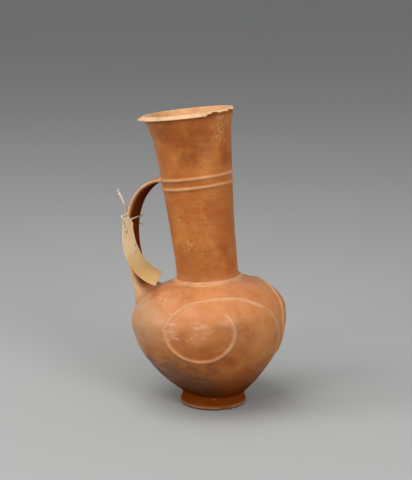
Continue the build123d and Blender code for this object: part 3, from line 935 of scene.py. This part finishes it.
# Layers of the clay's colour: a tint, and how strongly it lies over the ones before it
CLAY_LAYERS = {
    "blotch": ((216, 138, 64), 0.55),
    "soot": ((140, 70, 18), 0.5),
    "wipe": ((222, 150, 86), 0.24),
    "grain": ((146, 78, 28), 0.4),
    # Pale dust on the shoulder and upper belly, partly painted sheen on these upward-facing parts
    "dust_and_sheen": ((218, 152, 106), 1.0),
    # Painted shade: darker towards the foot, which faces down and lies under the bowl
    "low_shade": ((108, 44, 4), 0.92),
    "buff": ((198, 156, 116), 0.6),
    "stain": ((128, 64, 14), 0.4),
    "cloud": ((84, 62, 44), 0.55),
    "scuff": ((164, 140, 116), 0.4),
    # Painted shade on the strap's inner side, on the lip's breaks and in the crease below the collar
    "shade": ((98, 40, 6), 0.9),
    "wear": ((240, 208, 164), 1.0),
    "crust": ((232, 176, 122), 0.55),
    # Pale bloom streaked on the front of the belly, partly a painted highlight
    "bloom_and_highlight": ((226, 182, 150), 0.5),
    "lime": ((226, 186, 150), 0.7),
    # Dark spots in the small pits: painted shade in these hollows
    "pit": ((104, 56, 28), 0.45),
}

# Marks on the clay: the size of the breaks in their edges, and the middle and reach of each
MARKS = {
    "cloud": {"edge": 11, "places": (((-14, -54, 38), 30), ((8, -48, 27), 28), ((-34, -44, 38), 30))},
    "buff": {"edge": 14, "places": (((-40, -60, 92), 32), ((-62, -36, 92), 34), ((-62, -34, 64), 30))},
    # Brown stains; the last place, on the right of the belly, is painted shade
    "stain": {"edge": 9, "places": (
        ((-2, -33, 244), 19), ((-8, -33, 228), 14), ((-6, -27, 134), 27),
        ((4, -72, 40), 20), ((50, -52, 76), 27),
    )},
    "crust": {"edge": 6, "places": (((13, -11, 250), 13), ((-8, -29, 150), 8), ((-27, -48, 112), 16))},
    # Pale bloom on the front of the belly, partly a painted highlight
    "bloom_and_highlight": {"edge": 8, "places": (((-6, -72, 82), 17), ((22, -66, 88), 13))},
    "lime": {"edge": 9, "least": 0.2, "places": (
        ((-14, -34, 165), 34), ((-20, -48, 112), 34), ((2, -72, 82), 36),
    )},
}

CARD_LAYERS = {
    # Painted light and shade: the card darker towards its curled foot than at its upright top
    "lower": ((196, 154, 94), 0.9),
    "fibre": ((182, 142, 94), 0.22),
    "grime": ((160, 120, 78), 0.5),
    "fox": ((120, 84, 50), 0.6),
    # Painted shadow in the hole
    "hole": ((58, 38, 22), 1.0),
}


def tone(*display):
    """A display colour as the linear colour that shaders take."""
    return (*Color([value / 255 for value in display]).from_srgb_to_scene_linear(), 1.0)


class Look:
    """A material under construction, with short calls for the nodes that it uses."""

    def __init__(self, name):
        self.material = bpy.data.materials.new(name)
        self.material.use_nodes = True
        self.tree = self.material.node_tree
        self.shader = self.tree.nodes["Principled BSDF"]
        self.place = self.tree.nodes.new("ShaderNodeTexCoord").outputs["Object"]

    def node(self, kind, inputs, **settings):
        """A node with its settings and its inputs, which are values or other nodes' outputs."""
        node = self.tree.nodes.new(kind)
        for key, value in settings.items():
            setattr(node, key, value)
        for key, value in inputs.items():
            self.put(node.inputs[key], value)
        return node

    def put(self, socket, value):
        """Links an output to a socket, or sets the socket's value."""
        if isinstance(value, bpy.types.NodeSocket):
            self.tree.links.new(value, socket)
        else:
            socket.default_value = value

    def noise(self, size, detail=3.0, stretch=(1, 1, 1), rough=0.55):
        """Noise from 0 to 1 with waves of a size, at places scaled along X, Y and Z."""
        place = self.node("ShaderNodeMapping", {"Vector": self.place, "Scale": stretch}).outputs[0]
        inputs = {"Vector": place, "Scale": 1 / (size * MM), "Detail": detail, "Roughness": rough}
        return self.node("ShaderNodeTexNoise", inputs).outputs["Fac"]

    def between(self, value, low, high, out_low=0.0, out_high=1.0):
        """A value carried smoothly from one range to another."""
        inputs = {0: value, 1: low, 2: high, 3: out_low, 4: out_high}
        return self.node("ShaderNodeMapRange", inputs, interpolation_type="SMOOTHSTEP").outputs[0]

    def patches(self, band, size, detail=4.0, stretch=(1, 1, 1), values=(0.0, 1.0)):
        """The first value under a band of a noise, the second over it."""
        return self.between(self.noise(size, detail, stretch), *band, *values)

    def by_height(self, low, high):
        """0 at one height and 1 at another."""
        height = self.node("ShaderNodeSeparateXYZ", {"Vector": self.place}).outputs["Z"]
        return self.between(height, low * MM, high * MM)

    def math(self, operation, a, b):
        """Two values put together by an operation."""
        return self.node("ShaderNodeMath", {0: a, 1: b}, operation=operation).outputs[0]

    def times(self, a, b):
        """The product of two values."""
        return self.math("MULTIPLY", a, b)

    def spots(self, cell, often, reach):
        """Spots in cells of a size, in those whose random value lies over a band."""
        cells = self.node("ShaderNodeTexVoronoi", {"Vector": self.place, "Scale": 1 / (cell * MM)})
        pick = self.node("ShaderNodeSeparateColor", {"Color": cells.outputs["Color"]}).outputs[0]
        return self.times(self.between(cells.outputs["Distance"], *reach), self.between(pick, *often))

    def near(self, centre, reach, edge):
        """1 close to a point, falling to 0 at its reach, with an edge broken by noise."""
        inputs = {0: self.place, 1: Vector(centre) * MM}
        away = self.node("ShaderNodeVectorMath", inputs, operation="DISTANCE")
        ragged = NEAR_RAGGED * reach * MM
        shift = self.between(self.noise(edge), *NEAR_BAND, -ragged, ragged)
        distance = self.math("ADD", away.outputs["Value"], shift)
        return self.between(distance, *(share * reach * MM for share in NEAR_FADE))

    def near_any(self, edge, places, least=0.0):
        """1 close to any of several points, falling to a least value away from them all."""
        share = least
        for centre, reach in places:
            share = self.math("MAXIMUM", self.near(centre, reach, edge), share)
        return share

    def attribute(self, name):
        """A value kept on the points of the mesh."""
        return self.node("ShaderNodeAttribute", {}, attribute_name=name).outputs["Fac"]

    def mix(self, share, under, over):
        """One colour over another by a share."""
        return self.node("ShaderNodeMix", {0: share, 6: under, 7: over}, data_type="RGBA").outputs[2]

    def layered(self, color, layers, shares):
        """A colour with layers over it in turn, each by its own share."""
        for name, share in shares:
            tint, strength = layers[name]
            color = self.mix(self.times(share, strength), color, tone(*tint))
        return color

    def bumps(self, *heights):
        """Bumps over each other, each a height from 0 to 1 with its depth."""
        inputs = {"Strength": 1.0}
        for height, depth in heights:
            inputs.update({"Height": height, "Distance": depth * MM})
            inputs["Normal"] = self.node("ShaderNodeBump", inputs).outputs[0]
        return inputs["Normal"]

    def finish(self, color, roughness, normal, specular):
        """Puts the finished values on the shader."""
        names = ("Base Color", "Roughness", "Normal", "Specular IOR Level")
        for name, value in zip(names, (color, roughness, normal, specular)):
            self.put(self.shader.inputs[name], value)
        return self.material


def terracotta(name, paleness):
    """Hand-wiped orange clay with brown and red drifts, fire clouds, rubbed crests, lime specks and pits,
    with painted shade, sheen and highlight.
    """
    look = Look(name)
    marks = {key: look.near_any(**MARKS[key]) for key in ("cloud", "crust", "bloom_and_highlight", "lime")}
    wipe = look.noise(size=7, detail=5.0, stretch=(0.22, 0.22, 2.2), rough=0.65)
    grain = look.noise(size=1.6, detail=4.0)
    # The shoulder and upper belly, where the pale dust and painted sheen lie
    body = look.times(look.by_height(52, 88), look.by_height(128, 114))
    dust_and_sheen_patches = look.patches((0.3, 0.7), size=22, values=(0.2, 0.6))
    # Painted shade, growing from 55 mm down to 12 mm above the floor
    low_shade = look.by_height(55, 12)
    scuffs = look.patches((0.52, 0.72), size=5, detail=5.0, stretch=(0.4, 0.4, 2.0))
    # Painted shade kept on the points of the mesh
    shade = look.attribute("shade")
    rubbed = look.patches((0.25, 0.6), size=7, detail=3.0, values=(0.55, 1.0))
    worn = look.times(look.attribute("wear"), rubbed)
    flakes = look.patches((0.46, 0.62), size=3.2)
    streaks = look.patches((0.44, 0.64), size=5, stretch=(0.6, 0.6, 1.5))
    # Small pits, darkened with painted shade
    pit = look.spots(cell=4.1, often=(0.8, 0.86), reach=(0.17, 0.06))
    shares = [
        ("blotch", look.patches((0.42, 0.72), size=17)),
        ("soot", look.patches((0.54, 0.76), size=26, detail=5.0)),
        ("wipe", look.between(wipe, 0.48, 0.78)),
        ("grain", look.between(grain, 0.5, 0.8)),
        ("dust_and_sheen", look.times(body, dust_and_sheen_patches)),
        ("low_shade", low_shade),
    ]
    for mark in ("buff", "stain"):
        for place in MARKS[mark]["places"]:
            shares.append((mark, look.near(*place, MARKS[mark]["edge"])))
    shares += [
        ("cloud", marks["cloud"]),
        ("scuff", look.times(marks["cloud"], scuffs)),
        ("shade", shade),
        ("wear", look.times(worn, paleness)),
        ("crust", look.times(marks["crust"], flakes)),
        ("bloom_and_highlight", look.times(marks["bloom_and_highlight"], streaks)),
    ]
    for cell, often in ((2.1, (0.8, 0.9)), (4.6, (0.86, 0.96))):
        specks = look.spots(cell, often, reach=(0.28, 0.06))
        shares.append(("lime", look.times(specks, marks["lime"])))
    shares.append(("pit", pit))
    drift = look.patches((0.35, 0.65), size=52, detail=2.0)
    base = look.mix(drift, tone(200, 122, 54), tone(178, 94, 32))
    burnish = look.noise(size=8, detail=4.0, stretch=(0.4, 0.4, 1.6))
    roughness = look.between(burnish, 0.35, 0.65, 0.28, 0.56)
    lumps = look.noise(size=5.5)
    around_pits = look.between(pit, 0.0, 1.0, 1.0, 0.0)
    normal = look.bumps((wipe, 0.28), (grain, 0.16), (lumps, 0.35), (around_pits, 0.3))
    dull = look.math("MAXIMUM", shade, look.times(low_shade, CLAY_LAYERS["low_shade"][1]))
    sheen = look.between(dull, 0.0, 0.85, 0.38, 0.0)
    return look.finish(look.layered(base, CLAY_LAYERS, shares), roughness, normal, sheen)


def card():
    """Aged buff card with fibres, foxing and grubby handling marks, painted light and shade that leave it
    paler at its upright top than at its curled foot, and painted shadow in its hole.
    """
    look = Look("tag_card")
    fibre = look.noise(size=1.1, detail=4.0, stretch=(1, 0.5, 1))
    low_in_hole = (*TAG_HOLE[:2], TAG_HOLE[2] - TAG_HOLE_RADIUS / 2)
    shares = (
        # Painted light and shade, darker from 148 mm down to 120 mm
        ("lower", look.by_height(148, 120)),
        ("fibre", look.between(fibre, 0.5, 0.8)),
        ("grime", look.patches((0.62, 0.76), size=6)),
        ("fox", look.spots(cell=2.6, often=(0.86, 0.92), reach=(0.3, 0.1))),
        # Painted shadow in the lower half of the hole
        ("hole", look.near(low_in_hole, reach=1.3 * TAG_HOLE_RADIUS, edge=1.0)),
    )
    drift = look.patches((0.35, 0.7), size=16, detail=3.0)
    base = look.mix(drift, tone(255, 240, 198), tone(252, 230, 182))
    normal = look.bumps((fibre, 0.06), (look.noise(size=9), 0.25))
    color = look.layered(base, CARD_LAYERS, shares)
    return look.finish(color, roughness=0.82, normal=normal, specular=0.2)


def cotton():
    """Undyed cotton, dulled by handling."""
    look = Look("string_cotton")
    drift = look.patches((0.35, 0.7), size=3, detail=3.0)
    color = look.mix(drift, tone(242, 236, 220), tone(220, 208, 180))
    normal = look.bumps((look.noise(size=0.35), 0.08))
    return look.finish(color, roughness=0.9, normal=normal, specular=0.15)


def floor_look():
    """The plain floor, pale to the camera but greyer in the light that it throws back at the jug."""
    look = Look("floor")
    pale = look.mix(look.noise(size=900, detail=2.0), tone(180, 182, 182), tone(172, 174, 175))
    rays = look.tree.nodes.new("ShaderNodeLightPath").outputs
    mirrored = look.math("MAXIMUM", rays["Is Glossy Ray"], rays["Is Transmission Ray"])
    seen = look.math("MAXIMUM", rays["Is Camera Ray"], mirrored)
    color = look.mix(seen, tone(112, 114, 116), pale)
    normal = look.bumps((look.noise(size=2, detail=2.0), 0.01))
    return look.finish(color, roughness=0.9, normal=normal, specular=0.1)


# The pieces

CLAYS = {
    "terracotta": terracotta("terracotta", paleness=0.72),
    "relief_clay": terracotta("relief_clay", paleness=0.3),
}

clay_piece("bowl_clay", "lower_body", "terracotta", [bowl_rows()])
clay_piece("shoulder_clay", "shoulder", "terracotta", [shoulder_rows()])
clay_piece("neck_clay", "neck", "terracotta", neck_rows())
clay_piece("foot_clay", "foot_ring", "terracotta", foot_rows())
clay_piece("handle_clay", "handle_strap", "terracotta", strap_rows(), closed=False)
for name, height in RIDGES.items():
    clay_piece(f"{name}_clay", name, "relief_clay", ridge_rows(height))
clay_piece("collar_clay", "neck_collar", "relief_clay", collar_rows())
for name, (side, arm) in SCROLLS.items():
    clay_piece(f"{name}_clay", name, "relief_clay", scroll_rows(side, arm), closed=False)
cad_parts["handle_peg_patch"].material_slots[0].material = CLAYS["terracotta"]

tag = make_piece("tag_card", [tag_rows()], card())
bore(tag)
dress(tag, "paper_tag", body="tag")

thread = cotton()
loop_line = smooth_line("loop_route", LOOP_ROUTE)
plies = [tube_rows(line, PLY_RADIUS) for line in ply_lines(loop_line)]
string_loop = make_piece("string_loop", plies, thread, tubes=True)
dress(string_loop, "tag_string")
knot_tube = tube_rows(knot_line(), PLY_RADIUS * KNOT_FULLNESS, KNOT_SIDES)
knot = make_piece("overhand_knot", [knot_tube], thread, tubes=True)
dress(knot, "string_knot")
tails = []
for seed, (name, route) in enumerate(TAILS.items()):
    line = smooth_line(name, route)
    strands = [tube_rows(ply, PLY_RADIUS * TAIL_FULLNESS) for ply in ply_lines(line)]
    fibres = fray_lines(line[-1], unit(line[-1] - line[-TAIL_END_POINTS]), seed)
    strands += [tube_rows(fibre, np.linspace(*FRAY_RADII, len(fibre)), FRAY_SIDES) for fibre in fibres]
    tails.append(make_piece(name, strands, thread, tubes=True))
    dress(tails[-1], "string_tails")

# Stage, in metres

FLOOR_RADIUS = 9.0
FLOOR_SEGMENTS = 96
CAMERA_PLACE = (0.53904, -1.07214, 0.41964)
CAMERA_WAY = (-0.44301, 0.86947, -0.21856)
CAMERA_LENS = 102.94
WORLD_STRENGTH = 0.33
WORLD_COLOR = (0.98, 0.98, 0.97, 1.0)
JUG_MIDDLE = (0.0, 0.0, 0.12)
LIGHT_COLOR = (1.0, 0.985, 0.96)
LIGHTS = {
    "top_light": {"place": (-0.2, -0.45, 1.6), "size": 1.2, "power": 13.8},
    "left_light": {"place": (-1.3, -1.1, 0.9), "size": 0.8, "power": 9.0},
    "front_light": {"place": (-0.45, -1.85, 0.75), "size": 0.35, "power": 6.0},
    "right_light": {"place": (1.4, -0.85, 0.8), "size": 0.8, "power": 13.5},
}


def looking_along(way):
    """The turn of a light or camera that looks along a way."""
    return Vector(way).to_track_quat("-Z", "Y").to_euler()


def area_light(name, place, size, power):
    """A square soft light that faces the jug."""
    lamp = bpy.data.lights.new(name, "AREA")
    lamp.shape = "SQUARE"
    lamp.size = size
    lamp.energy = power
    lamp.color = LIGHT_COLOR
    light = linked(name, lamp)
    light.location = place
    light.rotation_euler = looking_along(Vector(JUG_MIDDLE) - Vector(place))


work = bmesh.new()
bmesh.ops.create_circle(work, cap_ends=True, segments=FLOOR_SEGMENTS, radius=FLOOR_RADIUS)
floor_mesh = bpy.data.meshes.new("floor")
work.to_mesh(floor_mesh)
work.free()
floor_mesh.materials.append(floor_look())
floor = linked("floor", floor_mesh)
floor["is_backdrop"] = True

for name, light in LIGHTS.items():
    area_light(name, **light)

world = bpy.data.worlds.new("studio")
world.use_nodes = True
background = world.node_tree.nodes["Background"].inputs
background["Color"].default_value = WORLD_COLOR
background["Strength"].default_value = WORLD_STRENGTH
bpy.context.scene.world = world
bpy.context.scene.view_settings.view_transform = "Standard"

camera_data = bpy.data.cameras.new("camera")
camera_data.lens = CAMERA_LENS
camera = linked("camera", camera_data)
camera.location = CAMERA_PLACE
camera.rotation_euler = looking_along(CAMERA_WAY)
bpy.context.scene.camera = camera

visual_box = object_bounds()
boxes = {"cad": cad_box, "visual": visual_box}
{key: [list(map(float, corner)) for corner in box] for key, box in boxes.items()}
